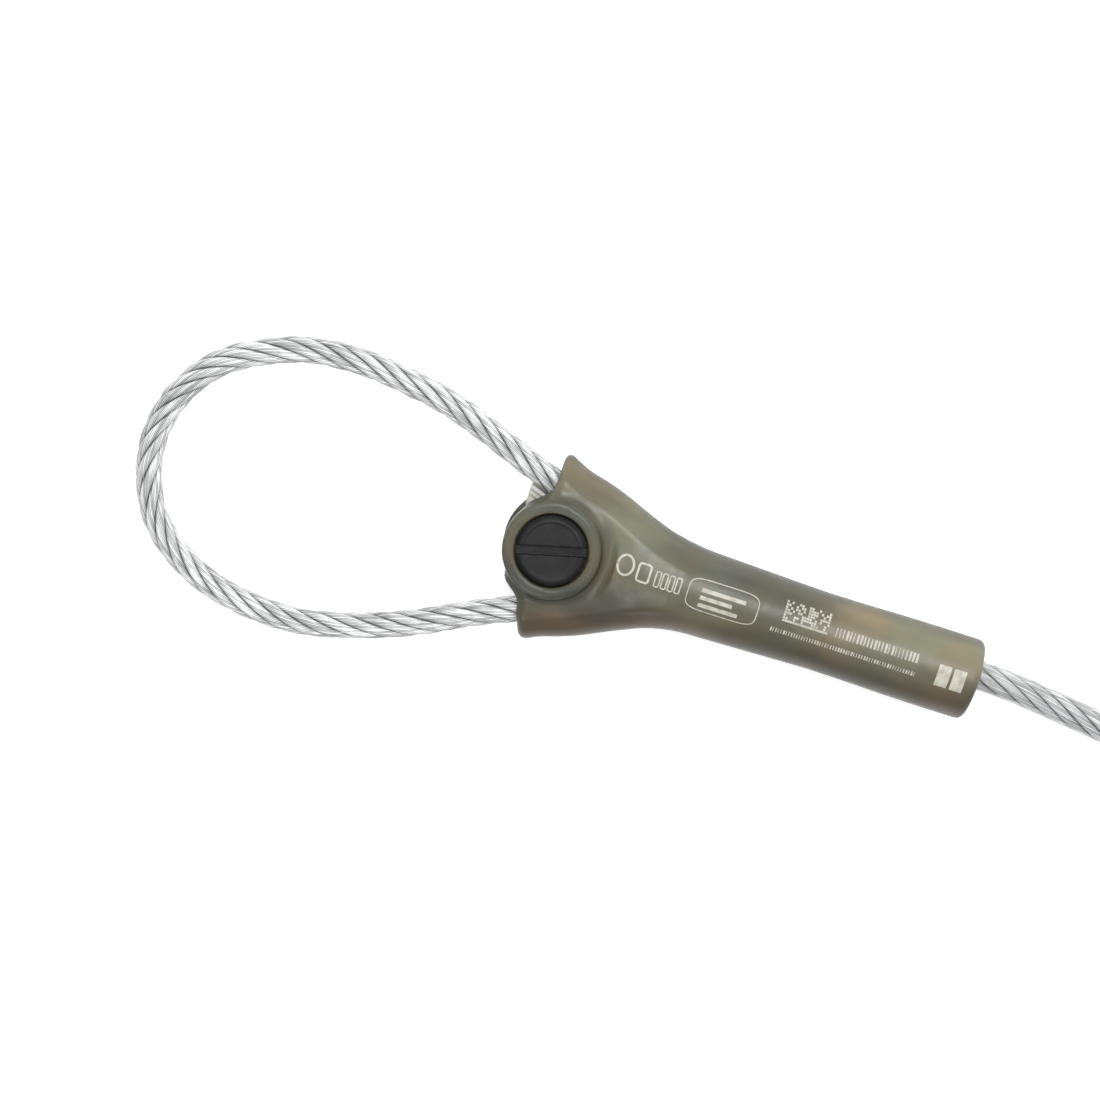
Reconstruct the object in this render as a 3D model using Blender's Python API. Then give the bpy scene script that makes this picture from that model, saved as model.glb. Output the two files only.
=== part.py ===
"""Short steel wire anchor strop with an inspectable eye at each end.

Frame: metres, +Z up. The strop lies flat on a table at z = 0. The origin is under the locking pin of
end A, on the flat outer face of the pin's socket. +X runs along the cover of end A, towards its cable
tail, and end B is end A turned half a turn about the vertical line through the middle of the cable.
"""

import math

import bmesh
import bpy
from mathutils import Matrix, Vector

MM = 0.001

# Driving dimensions, in millimetres
AXIS_HEIGHT = 9.3        # cover axis above the table: half of the head's thickness
GAP = 0.3                # kept between neighbouring pieces
ROPE_RADIUS = 2.9        # bare six-strand wire rope, as it shows in the eye
CABLE_RADIUS = 3.15      # the same rope in its clear coating, between the two covers

# Axes of the two leg sockets, by side: x, y where one meets the ferrule chamber, and at its mouth
LEG_AXES = {1: ((24.0, 3.6), (-3.6, 12.9)), -1: ((24.0, -3.8), (-3.6, -15.4))}
LEG_OUTER_RADIUS = 6.6
LEG_BORE_RADIUS = 3.9

EAR_RADIUS = 10.3        # the two round ears that hold the pin
EAR_INSET = 0.25         # ears lie this much inside the flat pin faces
WEB_HALF_HEIGHT = 5.9    # skin between the ears and the leg sockets
SHOULDER_HALF_HEIGHT = 7.4
SLOT_HALF_HEIGHT = 4.2   # inner space that holds the spreader
SLOT_END_X = 13.0
COVER_END_X = 93.4
CHAMBER_RADIUS = 6.9     # bore that slides over the ferrule
CHAMBER_START_X = 20.0
END_WALL = 3.0
EXIT_RADIUS = 5.1        # hole in the end wall that the cable leaves through

# Outer profile of the cover's tail: distance along the axis, radius
TAIL_PROFILE = (
    (15.0, 7.6), (20.0, 8.7), (26.0, 9.2), (34.0, 9.2), (42.0, 8.95), (51.0, 8.65),
    (59.5, 8.42), (68.0, 8.52), (76.0, 8.7), (84.0, 8.78), (91.9, 8.72), (92.9, 8.4),
    (COVER_END_X, 7.7),
)

PIN_HEAD_RADIUS = 7.5
PIN_HEAD_THICKNESS = 2.4
PIN_HEAD_CHAMFER = 1.2
PIN_SHANK_RADIUS = 3.3
PIN_LUG_RADIUS = 4.5
PIN_LUG_WIDTH = 2.2
LUG_LOW, LUG_HIGH = 4.3, 6.3     # heights of the bayonet lugs
COIN_SLOT_WIDTH = 2.1
COIN_SLOT_DEPTH = 1.4
COIN_SLOT_ANGLE = math.radians(14.8)
SOCKET_TUBE_RADIUS = 5.5
SOCKET_BORE_RADIUS = 3.6
SOCKET_TOP = 15.0
GROOVE_LOW, GROOVE_HIGH = 3.6, 6.7
GROOVE_RADIUS = 4.8
ENTRY_WIDTH = 2.8

FERRULE_START_X, FERRULE_END_X = 34.0, 64.3
FERRULE_RADIUS = 6.2
DEAD_END_LENGTH = 3.2

SPREADER_HALF_HEIGHT = 3.9
SPREADER_RIGHT_X = 11.6
SPREADER_TIP_X = -8.2    # tongue that runs on beside the upper leg
SPREADER_ARC_RADIUS = 9.7
SPREADER_ARC_ANGLES = (135, 272)
SPREADER_TO_ROPE = 3.7   # spreader side to the rope's centre line
SPREADER_GROOVE_RADIUS = 4.2

# The eye, from the ferrule through the upper leg, round and back: x, y of the rope's centre line
EYE_ROUTE = (
    (33.2, 2.95), (29.5, 3.0), (26.0, 3.3), (21.5, 4.5), (9.5, 8.5), (-3.6, 12.9),
    (-25.9, 21.1), (-37.7, 23.8), (-50.8, 25.0), (-63.4, 23.4), (-76.9, 16.8), (-84.5, 7.8),
    (-87.7, -3.0), (-86.2, -14.0), (-80.3, -23.6), (-69.0, -30.5), (-54.6, -33.1), (-41.7, -31.8),
    (-25.5, -26.2), (-12.2, -19.3), (-3.6, -15.4), (9.5, -9.9), (21.5, -4.9), (26.0, -3.4),
    (29.5, -3.0), (33.2, -2.95),
)
EYE_TILT = 0.085         # rise of the eye per unit of y, reached away from the cover
EYE_TILT_START_X, EYE_TILT_FULL_X = -4.0, -40.0

# Half of the coated cable, from the ferrule of end A to the middle of the strop: x, y, z
CABLE_HALF_ROUTE = (
    (64.6, 3.3, 9.3), (71.0, 3.15, 9.3), (81.0, 2.4, 9.2), (93.4, 1.5, 8.9), (99.5, 1.15, 8.45),
    (107.0, 0.5, 7.7), (120.0, -1.1, 6.3), (133.0, -2.8, 4.8), (147.0, -4.3, 3.75),
)
MIDDLE = (159.4, -5.5, 3.35)


def clear_scene():
    for obj in list(bpy.data.objects):
        bpy.data.objects.remove(obj)


def make_material(name, color, roughness, metallic=0.0, alpha=1.0):
    material = bpy.data.materials.new(name)
    material.use_nodes = True
    shader = material.node_tree.nodes["Principled BSDF"]
    shader.inputs["Base Color"].default_value = (*color, 1.0)
    shader.inputs["Roughness"].default_value = roughness
    shader.inputs["Metallic"].default_value = metallic
    shader.inputs["Alpha"].default_value = alpha
    material.diffuse_color = (*color, alpha)
    return material


def to_mesh(bm, name):
    """Write a bmesh drawn in millimetres to a mesh in metres, with its faces pointing out."""
    bmesh.ops.scale(bm, vec=(MM, MM, MM), verts=bm.verts)
    bmesh.ops.recalc_face_normals(bm, faces=bm.faces)
    mesh = bpy.data.meshes.new(name)
    bm.to_mesh(mesh)
    bm.free()
    return mesh


def ring_solid(rings, name):
    """Closed solid through rings of points, with a flat cap at each end."""
    bm = bmesh.new()
    loops = [[bm.verts.new(point) for point in ring] for ring in rings]
    count = len(loops[0])
    for low, high in zip(loops, loops[1:]):
        for i in range(count):
            j = (i + 1) % count
            bm.faces.new((low[i], low[j], high[j], high[i]))
    bm.faces.new(loops[0])
    bm.faces.new(loops[-1])
    return to_mesh(bm, name)


def circle(center, radius, sides, across, up):
    """Points of a circle around center, in the plane of the two unit vectors."""
    turn = 2 * math.pi / sides
    return [
        center + radius * (math.cos(i * turn) * across + math.sin(i * turn) * up)
        for i in range(sides)
    ]


def rod(start, end, start_radius, end_radius, name, sides=32):
    """Round or tapered rod between two points."""
    start, end = Vector(start), Vector(end)
    along = (end - start).normalized()
    helper = Vector((0, 0, 1)) if abs(along.z) < 0.9 else Vector((1, 0, 0))
    across = along.cross(helper).normalized()
    up = across.cross(along)
    return ring_solid(
        [circle(start, start_radius, sides, across, up), circle(end, end_radius, sides, across, up)],
        name,
    )


def turned(profile, name, sides=40):
    """Solid turned about the cover's axis from (x, radius) pairs."""
    across, up = Vector((0, 1, 0)), Vector((0, 0, 1))
    return ring_solid(
        [circle(Vector((x, 0, AXIS_HEIGHT)), radius, sides, across, up) for x, radius in profile],
        name,
    )


def disc(profile, name, sides=40):
    """Solid turned about the pin's axis from (z, radius) pairs."""
    across, up = Vector((1, 0, 0)), Vector((0, 1, 0))
    return ring_solid(
        [circle(Vector((0, 0, z)), radius, sides, across, up) for z, radius in profile], name
    )


def prism(outline, low, high, name):
    """Solid with an outline in x and y, between two heights."""
    return ring_solid([[Vector((x, y, z)) for x, y in outline] for z in (low, high)], name)


def box(low, high, name, angle=0.0):
    """Box between two corners, turned about the pin's axis."""
    outline = [(low[0], low[1]), (high[0], low[1]), (high[0], high[1]), (low[0], high[1])]
    turned_outline = [
        (x * math.cos(angle) - y * math.sin(angle), x * math.sin(angle) + y * math.cos(angle))
        for x, y in outline
    ]
    return prism(turned_outline, low[2], high[2], name)


def carve(base, added, removed, name):
    """Join the added meshes to the base, cut the removed ones out, and return the mesh."""
    collection = bpy.context.scene.collection
    body = bpy.data.objects.new(name, base)
    collection.objects.link(body)
    helpers = []
    for operation, meshes in (("UNION", added), ("DIFFERENCE", removed)):
        for mesh in meshes:
            helper = bpy.data.objects.new(mesh.name, mesh)
            helper.hide_render = True
            helper.display_type = "WIRE"
            collection.objects.link(helper)
            helpers.append(helper)
            step = body.modifiers.new(mesh.name, "BOOLEAN")
            step.operation = operation
            step.object = helper
    graph = bpy.context.evaluated_depsgraph_get()
    result = bpy.data.meshes.new_from_object(body.evaluated_get(graph))
    result.name = name
    for obj in [body, *helpers]:
        bpy.data.objects.remove(obj)
    return result


def leg_point(x, side):
    """Point on the axis of a leg socket at a given x; side is 1 or -1."""
    (x0, y0), (x1, y1) = LEG_AXES[side]
    return Vector((x, y0 + (x - x0) / (x1 - x0) * (y1 - y0), AXIS_HEIGHT))


def leg_side(x, side, inset):
    """Point level with the leg axis at x, moved inward from the axis by inset."""
    (x0, y0), (x1, y1) = LEG_AXES[side]
    slope = (y1 - y0) / (x1 - x0)
    return x, leg_point(x, side).y - side * inset * math.hypot(1, slope)


def wedge_outline(left_x, right_x, inset):
    """Outline between the two leg axes, each side moved inward by inset."""
    return [
        leg_side(left_x, -1, inset), leg_side(right_x, -1, inset),
        leg_side(right_x, 1, inset), leg_side(left_x, 1, inset),
    ]


def shoulder_outline():
    """Outline of the plates that run from the round ears out to the leg sockets."""
    return [
        (-3.0, -14.5), (10.0, -8.0), (10.0, 7.0), (-3.0, 12.4), (-3.4, 10.9), (-6.6, 7.9),
        (-6.6, -7.9), (-3.4, -11.4),
    ]


def cover_mesh():
    """Moulded cover: tail over the ferrule, two leg sockets, and two ears that hold the pin."""
    ear_low, ear_high = EAR_INSET, 2 * AXIS_HEIGHT - EAR_INSET
    added = [
        disc([(ear_low, EAR_RADIUS), (ear_high, EAR_RADIUS)], "ears"),
        prism(
            wedge_outline(-2.6, 21.0, 0.0),
            AXIS_HEIGHT - WEB_HALF_HEIGHT, AXIS_HEIGHT + WEB_HALF_HEIGHT, "web",
        ),
        prism(
            shoulder_outline(),
            AXIS_HEIGHT - SHOULDER_HALF_HEIGHT, AXIS_HEIGHT + SHOULDER_HALF_HEIGHT, "shoulders",
        ),
    ]
    removed = [
        prism(
            wedge_outline(-14.0, SLOT_END_X, 0.0),
            AXIS_HEIGHT - SLOT_HALF_HEIGHT, AXIS_HEIGHT + SLOT_HALF_HEIGHT, "spreader_slot",
        ),
        rod(
            (CHAMBER_START_X, 0, AXIS_HEIGHT), (COVER_END_X - END_WALL, 0, AXIS_HEIGHT),
            CHAMBER_RADIUS, CHAMBER_RADIUS, "ferrule_chamber",
        ),
        rod(
            (COVER_END_X - END_WALL - 1, 0, AXIS_HEIGHT), (COVER_END_X + 1, 0, AXIS_HEIGHT),
            EXIT_RADIUS, EXIT_RADIUS, "cable_exit",
        ),
    ]
    for side, word in ((1, "upper"), (-1, "lower")):
        added.append(
            rod(
                leg_point(LEG_AXES[side][1][0], side), leg_point(LEG_AXES[side][0][0], side),
                LEG_OUTER_RADIUS, LEG_OUTER_RADIUS, word + "_leg_socket",
            )
        )
        removed.append(
            rod(
                leg_point(LEG_AXES[side][1][0] - 5, side), leg_point(CHAMBER_START_X + 7, side),
                LEG_BORE_RADIUS, LEG_BORE_RADIUS, word + "_leg_bore",
            )
        )
    seat = PIN_HEAD_THICKNESS + GAP
    seat_radius = PIN_HEAD_RADIUS + GAP
    removed += [
        disc([(-1, seat_radius), (seat, seat_radius)], "rear_seat"),
        disc([(2 * AXIS_HEIGHT - seat, seat_radius), (2 * AXIS_HEIGHT + 1, seat_radius)], "front_seat"),
        disc([(1, SOCKET_TUBE_RADIUS + GAP), (2 * AXIS_HEIGHT - 1, SOCKET_TUBE_RADIUS + GAP)], "pin_hole"),
    ]
    return carve(turned(TAIL_PROFILE, "tail"), added, removed, "sleeve_cover")


def spreader_mesh():
    """Wedge in the crotch of the eye, round behind the ears and grooved along both sides for the rope."""
    first, last = SPREADER_ARC_ANGLES
    angles = [math.radians(first + (last - first) * i / 12) for i in range(13)]
    arc = [
        (SPREADER_ARC_RADIUS * math.cos(angle), SPREADER_ARC_RADIUS * math.sin(angle))
        for angle in angles
    ]
    outline = [
        *arc, leg_side(SPREADER_RIGHT_X, -1, SPREADER_TO_ROPE),
        leg_side(SPREADER_RIGHT_X, 1, SPREADER_TO_ROPE), leg_side(SPREADER_TIP_X, 1, SPREADER_TO_ROPE),
    ]
    block = prism(
        outline, AXIS_HEIGHT - SPREADER_HALF_HEIGHT, AXIS_HEIGHT + SPREADER_HALF_HEIGHT, "spreader"
    )
    grooves = [
        rod(
            leg_point(SPREADER_TIP_X - 4, side), leg_point(SPREADER_RIGHT_X + 4, side),
            SPREADER_GROOVE_RADIUS, SPREADER_GROOVE_RADIUS, word + "_groove", sides=24,
        )
        for side, word in ((1, "upper"), (-1, "lower"))
    ]
    hole_radius = SOCKET_TUBE_RADIUS + GAP
    hole = disc([(0, hole_radius), (2 * AXIS_HEIGHT, hole_radius)], "hole", sides=32)
    return carve(block, [], [*grooves, hole], "spreader")


def pin_mesh():
    """Front half of the locking pin: coin-slotted head, round shank and two bayonet lugs."""
    top = 2 * AXIS_HEIGHT - EAR_INSET
    head_low = top - PIN_HEAD_THICKNESS
    body = disc(
        [
            (LUG_LOW - GAP, PIN_SHANK_RADIUS), (head_low, PIN_SHANK_RADIUS),
            (head_low, PIN_HEAD_RADIUS), (top - PIN_HEAD_CHAMFER * 0.6, PIN_HEAD_RADIUS),
            (top, PIN_HEAD_RADIUS - PIN_HEAD_CHAMFER),
        ],
        "coin_pin",
    )
    lugs = box(
        (-PIN_LUG_RADIUS, -PIN_LUG_WIDTH / 2, LUG_LOW), (PIN_LUG_RADIUS, PIN_LUG_WIDTH / 2, LUG_HIGH),
        "lugs",
    )
    reach = PIN_HEAD_RADIUS + 1
    slot = box(
        (-reach, -COIN_SLOT_WIDTH / 2, top - COIN_SLOT_DEPTH), (reach, COIN_SLOT_WIDTH / 2, top + 1),
        "coin_slot", COIN_SLOT_ANGLE,
    )
    return carve(body, [lugs], [slot], "coin_pin")


def socket_mesh():
    """Rear half of the locking pin: flat head, tube, and the groove that the lugs turn in."""
    chamfer = PIN_HEAD_CHAMFER * 0.6
    body = disc(
        [
            (0, PIN_HEAD_RADIUS - PIN_HEAD_CHAMFER), (chamfer, PIN_HEAD_RADIUS),
            (PIN_HEAD_THICKNESS, PIN_HEAD_RADIUS), (PIN_HEAD_THICKNESS, SOCKET_TUBE_RADIUS),
            (SOCKET_TOP, SOCKET_TUBE_RADIUS),
        ],
        "pin_socket",
    )
    bore = disc([(GROOVE_LOW, SOCKET_BORE_RADIUS), (SOCKET_TOP + 1, SOCKET_BORE_RADIUS)], "bore")
    groove = disc([(GROOVE_LOW, GROOVE_RADIUS), (GROOVE_HIGH, GROOVE_RADIUS)], "groove")
    entry = box(
        (-ENTRY_WIDTH / 2, -GROOVE_RADIUS, GROOVE_LOW + GAP),
        (ENTRY_WIDTH / 2, GROOVE_RADIUS, SOCKET_TOP + 1), "entry_slots",
    )
    return carve(body, [], [bore, groove, entry], "pin_socket")


def ferrule_mesh():
    """Round pressed ferrule with rounded ends."""
    start, end, radius = FERRULE_START_X, FERRULE_END_X, FERRULE_RADIUS
    profile = [
        (start, radius - 0.9), (start + 0.3, radius - 0.3), (start + 1.0, radius),
        (end - 1.0, radius), (end - 0.3, radius - 0.3), (end, radius - 0.9),
    ]
    return turned(profile, "ferrule", sides=32)


def dead_end_mesh():
    """Cut end of the rope, where it comes out of the ferrule."""
    start = FERRULE_END_X + GAP
    y = -ROPE_RADIUS - GAP / 2
    return rod(
        (start, y, AXIS_HEIGHT), (start + DEAD_END_LENGTH, y, AXIS_HEIGHT),
        ROPE_RADIUS, ROPE_RADIUS, "rope_dead_end", sides=20,
    )


def smooth_line(points, spacing):
    """Points at an even spacing along a Catmull-Rom curve through the route's points."""
    points = [Vector(p) for p in points]
    padded = [2 * points[0] - points[1], *points, 2 * points[-1] - points[-2]]
    fine = []
    for a, b, c, d in zip(padded, padded[1:], padded[2:], padded[3:]):
        for step in range(24):
            t = step / 24
            fine.append(
                0.5 * (2 * b + (c - a) * t + (2 * a - 5 * b + 4 * c - d) * t ** 2
                       + (3 * b - 3 * c + d - a) * t ** 3)
            )
    fine.append(points[-1])
    lengths = [0.0]
    for p, q in zip(fine, fine[1:]):
        lengths.append(lengths[-1] + (q - p).length)
    count = max(2, round(lengths[-1] / spacing))
    line, k = [], 0
    for i in range(count + 1):
        target = lengths[-1] * i / count
        while k < len(fine) - 2 and lengths[k + 1] < target:
            k += 1
        span = lengths[k + 1] - lengths[k]
        line.append(fine[k].lerp(fine[k + 1], (target - lengths[k]) / span))
    return line


def tube_curve(name, line, radius):
    """Round tube along a line, as a curve with a bevel and filled caps."""
    curve = bpy.data.curves.new(name, "CURVE")
    curve.dimensions = "3D"
    curve.bevel_depth = radius * MM
    curve.bevel_resolution = 3
    curve.use_fill_caps = True
    spline = curve.splines.new("POLY")
    spline.points.add(len(line) - 1)
    for point, place in zip(spline.points, line):
        point.co = (*(place * MM), 1.0)
    return curve


def eye_line():
    """Centre line of the rope round the eye, tilted a little as the rope's lay twists it."""
    def height(x, y):
        share = (EYE_TILT_START_X - x) / (EYE_TILT_START_X - EYE_TILT_FULL_X)
        share = min(1.0, max(0.0, share))
        return AXIS_HEIGHT + EYE_TILT * y * share * share * (3 - 2 * share)

    return smooth_line([(x, y, height(x, y)) for x, y in EYE_ROUTE], 1.4 * 2 * ROPE_RADIUS)


def cable_line():
    """Centre line of the coated cable, from ferrule to ferrule, the same both ways from its middle."""
    first = [Vector(p) for p in CABLE_HALF_ROUTE]
    middle = Vector(MIDDLE)
    second = [Vector((2 * middle.x - p.x, 2 * middle.y - p.y, p.z)) for p in reversed(first)]
    return smooth_line([*first, middle, *second], 2.0 * 2 * CABLE_RADIUS)


def place(name, data, material, parent=None):
    """Object for one piece, with its own copy of the material slot, under its end's empty."""
    obj = bpy.data.objects.new(name, data)
    obj.data.materials.clear()
    obj.data.materials.append(material)
    bpy.context.scene.collection.objects.link(obj)
    obj.parent = parent
    if isinstance(data, bpy.types.Mesh):
        data.shade_smooth()
        data.set_sharp_from_angle(angle=math.radians(35))
    return obj


def make_end_empty(name, location, turn):
    """Empty on the pin's axis, at the table, that one end hangs from."""
    empty = bpy.data.objects.new(name, None)
    empty.location = location
    empty.rotation_euler = (0, 0, turn)
    bpy.context.scene.collection.objects.link(empty)
    return empty


def main():
    clear_scene()
    tpu = make_material("cover_tpu", (0.16, 0.15, 0.12), 0.35, alpha=0.75)
    black = make_material("pin_nylon", (0.03, 0.03, 0.03), 0.45)
    grey = make_material("spreader_nylon", (0.5, 0.48, 0.44), 0.5)
    aluminium = make_material("ferrule_aluminium", (0.72, 0.73, 0.75), 0.4, 1.0)
    steel = make_material("galvanised_rope", (0.62, 0.63, 0.62), 0.4, 1.0)
    coated = make_material("coated_rope", (0.66, 0.67, 0.67), 0.3, 0.6)

    pieces = (
        ("sleeve_cover", cover_mesh(), tpu),
        ("spreader", spreader_mesh(), grey),
        ("coin_pin", pin_mesh(), black),
        ("pin_socket", socket_mesh(), black),
        ("ferrule", ferrule_mesh(), aluminium),
        ("rope_dead_end", dead_end_mesh(), steel),
        ("eye_rope", tube_curve("eye_rope", eye_line(), ROPE_RADIUS), steel),
    )
    far = Vector((2 * MIDDLE[0], 2 * MIDDLE[1], 0)) * MM
    ends = (
        ("a", make_end_empty("end_a", (0, 0, 0), 0.0)),
        ("b", make_end_empty("end_b", far, math.pi)),
    )
    for letter, empty in ends:
        for name, data, material in pieces:
            place(name + "_" + letter, data, material, empty)
    place("coated_cable", tube_curve("coated_cable", cable_line(), CABLE_RADIUS), coated)


main()
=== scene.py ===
# %% [markdown]
# # A short steel wire anchor strop
#
# The object is a length of six-strand wire rope with an eye at each end. Where the rope meets itself it
# is held by a pressed ferrule, and over the ferrule sits a smoky cover that a black, coin-slotted pin
# locks in place. This lesson dresses the imported model of that strop: the places of its two ends come
# from its pins, and the strands, the moulded skin, the print and the finishes are added here. Blender
# works in metres; the moulded shapes are drawn in millimetres and scaled at the end.

import math
import random

import bmesh
import bpy
import numpy as np
import openvdb as vdb
from mathutils import Matrix, Vector
from mathutils.bvhtree import BVHTree


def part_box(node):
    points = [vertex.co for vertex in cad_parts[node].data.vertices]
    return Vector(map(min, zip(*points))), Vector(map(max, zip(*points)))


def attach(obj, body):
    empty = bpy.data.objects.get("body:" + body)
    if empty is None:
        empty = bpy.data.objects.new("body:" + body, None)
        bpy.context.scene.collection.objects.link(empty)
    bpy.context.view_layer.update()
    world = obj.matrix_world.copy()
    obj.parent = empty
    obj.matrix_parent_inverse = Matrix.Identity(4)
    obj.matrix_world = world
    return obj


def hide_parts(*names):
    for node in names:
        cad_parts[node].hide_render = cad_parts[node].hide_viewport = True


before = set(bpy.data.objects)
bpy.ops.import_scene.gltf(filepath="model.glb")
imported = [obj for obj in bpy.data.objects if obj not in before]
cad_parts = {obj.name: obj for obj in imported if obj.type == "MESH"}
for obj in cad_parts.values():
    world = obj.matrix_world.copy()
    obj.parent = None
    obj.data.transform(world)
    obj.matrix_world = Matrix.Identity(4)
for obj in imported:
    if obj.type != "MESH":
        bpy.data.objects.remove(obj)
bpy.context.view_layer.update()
MM = 0.001

# %% [markdown]
# The two ends are the same pieces turned half a turn about a vertical line. So every end piece is made
# once, round a pin that stands at the origin, and then placed at each pin. A pin's place is the middle
# of its CAD box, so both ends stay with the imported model.

# %% Where the two ends are
def middle_of(node):
    low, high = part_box(node)
    return (Vector(low) + Vector(high)) / 2


pin_a = middle_of("coin_pin_a")
pin_b = middle_of("coin_pin_b")
END_PLACES = {
    "a": Matrix.Translation((pin_a.x, pin_a.y, 0)),
    "b": Matrix.Translation((pin_b.x, pin_b.y, 0)) @ Matrix.Rotation(math.pi, 4, "Z"),
}
ear_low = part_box("sleeve_cover_a")[0][2]
ear_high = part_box("sleeve_cover_a")[1][2]
AXIS_HEIGHT = (ear_low + ear_high) / 2
COVER_END_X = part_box("sleeve_cover_a")[1][0]
print("pins at", pin_a[:], pin_b[:], "cover axis at", round(AXIS_HEIGHT, 5))

# %% [markdown]
# ## The camera
#
# The strop lies flat and is seen from above, a little from the +Y side. A camera's own axes are its
# right, its up and the direction it looks back along. Building the matrix from those three vectors is
# more exact than chaining rotations: here the strop's long axis has to fall to the right by a set angle.

# %% Camera
CAMERA_LEAN = math.radians(8.0)      # from straight above, towards +Y
LONG_AXIS_FALL = math.radians(17.8)  # how far +X falls below level in the picture
CAMERA_DISTANCE = 0.4715
FIELD_OF_VIEW = math.radians(27.3)
LOOK_AT = Vector((-0.0003, 0.0002, ear_high))


def make_camera():
    back = Vector((0, math.sin(CAMERA_LEAN), math.cos(CAMERA_LEAN)))
    across = back.cross(Vector((1, 0, 0)))
    right = math.cos(LONG_AXIS_FALL) * Vector((1, 0, 0)) + math.sin(LONG_AXIS_FALL) * across
    up = back.cross(right)
    data = bpy.data.cameras.new("camera")
    data.angle = FIELD_OF_VIEW
    data.clip_start = 0.01
    camera = bpy.data.objects.new("camera", data)
    camera.matrix_world = Matrix.Translation(LOOK_AT + CAMERA_DISTANCE * back) @ Matrix(
        (right, up, back)
    ).transposed().to_4x4()
    bpy.context.scene.collection.objects.link(camera)
    bpy.context.scene.camera = camera
    return camera


camera = make_camera()
print("camera at", [round(x, 4) for x in camera.location])

# %% [markdown]
# ## Routes
#
# A rope is its centre line plus its diameter, so the lines come first. The points below are the ones
# that the CAD model uses. A Catmull-Rom curve passes through all of them without corners, and an even
# spacing along it keeps the strands' twist even.

# %% Smooth, evenly spaced lines
CURVE_STEPS = 24


def smooth_line(points, spacing):
    points = [Vector(p) for p in points]
    padded = [2 * points[0] - points[1], *points, 2 * points[-1] - points[-2]]
    fine = []
    for a, b, c, d in zip(padded, padded[1:], padded[2:], padded[3:]):
        for step in range(CURVE_STEPS):
            t = step / CURVE_STEPS
            fine.append(
                0.5 * (2 * b + (c - a) * t + (2 * a - 5 * b + 4 * c - d) * t ** 2
                       + (3 * b - 3 * c + d - a) * t ** 3)
            )
    fine = np.array([*fine, points[-1]])
    lengths = np.concatenate([[0], np.cumsum(np.linalg.norm(np.diff(fine, axis=0), axis=1))])
    count = max(2, round(lengths[-1] / spacing))
    targets = np.linspace(0, lengths[-1], count + 1)
    return np.stack([np.interp(targets, lengths, fine[:, k]) for k in range(3)], axis=1)


def length_of(line):
    return float(np.linalg.norm(np.diff(line, axis=0), axis=1).sum())


print("each stretch of a route is drawn in", CURVE_STEPS, "steps")

# %% [markdown]
# The eye lies nearly flat and tilts a little about its long axis. Only the first half of the cable is
# written down: the second half is the first turned half a turn about the cable's middle point.

# %% The routes of the rope
ROPE_RADIUS = 2.9 * MM
CABLE_RADIUS = 3.15 * MM
EYE_ROUTE = [
    (33.2, 2.95), (29.5, 3.0), (26.0, 3.3), (21.5, 4.5), (9.5, 8.5), (-3.6, 12.9),
    (-25.9, 21.1), (-37.7, 23.8), (-50.8, 25.0), (-63.4, 23.4), (-76.9, 16.8), (-84.5, 7.8),
    (-87.7, -3.0), (-86.2, -14.0), (-80.3, -23.6), (-69.0, -30.5), (-54.6, -33.1), (-41.7, -31.8),
    (-25.5, -26.2), (-12.2, -19.3), (-3.6, -15.4), (9.5, -9.9), (21.5, -4.9), (26.0, -3.4),
    (29.5, -3.0), (33.2, -2.95),
]
EYE_TILT = 0.085
EYE_TILT_START_X, EYE_TILT_FULL_X = -4.0, -40.0
CABLE_HALF_ROUTE = [
    (64.6, 3.3, 9.3), (71.0, 3.15, 9.3), (81.0, 2.4, 9.2), (93.4, 1.5, 8.9), (99.5, 1.15, 8.45),
    (107.0, 0.5, 7.7), (120.0, -1.1, 6.3), (133.0, -2.8, 4.8), (147.0, -4.3, 3.75),
]
CABLE_MIDDLE = (159.4, -5.5, 3.35)


def eye_height(x, y):
    share = (EYE_TILT_START_X - x) / (EYE_TILT_START_X - EYE_TILT_FULL_X)
    share = min(1.0, max(0.0, share))
    return AXIS_HEIGHT + EYE_TILT * y * MM * share * share * (3 - 2 * share)


def eye_line(spacing):
    return smooth_line([(x * MM, y * MM, eye_height(x, y)) for x, y in EYE_ROUTE], spacing)


def cable_line(spacing):
    first = [Vector(p) * MM for p in CABLE_HALF_ROUTE]
    middle = Vector(CABLE_MIDDLE) * MM
    second = [Vector((2 * middle.x - p.x, 2 * middle.y - p.y, p.z)) for p in reversed(first)]
    return smooth_line([*first, middle, *second], spacing)


print("eye", round(length_of(eye_line(1 * MM)), 4), "m")
print("cable", round(length_of(cable_line(1 * MM)), 4), "m")

# %% [markdown]
# ## Finishes
#
# Each finish is a small node tree: a Principled shader whose colour, roughness and bump come from
# noise. The helper below wires one noise texture, stretched by a scale in each direction, through a
# colour ramp. Numbers that are the same all over a piece are set on the shader's own sockets.

# %% Material helpers
def new_material(name, **values):
    material = bpy.data.materials.new(name)
    material.use_nodes = True
    shader = material.node_tree.nodes["Principled BSDF"]
    for socket, value in values.items():
        shader.inputs[socket.replace("_", " ")].default_value = value
    return material, material.node_tree, shader


def noise_node(tree, scale, stretch=(1, 1, 1), detail=4.0, roughness=0.55):
    place = tree.nodes.new("ShaderNodeTexCoord")
    mapping = tree.nodes.new("ShaderNodeMapping")
    mapping.inputs["Scale"].default_value = stretch
    noise = tree.nodes.new("ShaderNodeTexNoise")
    noise.inputs["Scale"].default_value = scale
    noise.inputs["Detail"].default_value = detail
    noise.inputs["Roughness"].default_value = roughness
    tree.links.new(place.outputs["Object"], mapping.inputs["Vector"])
    tree.links.new(mapping.outputs["Vector"], noise.inputs["Vector"])
    return noise


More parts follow.
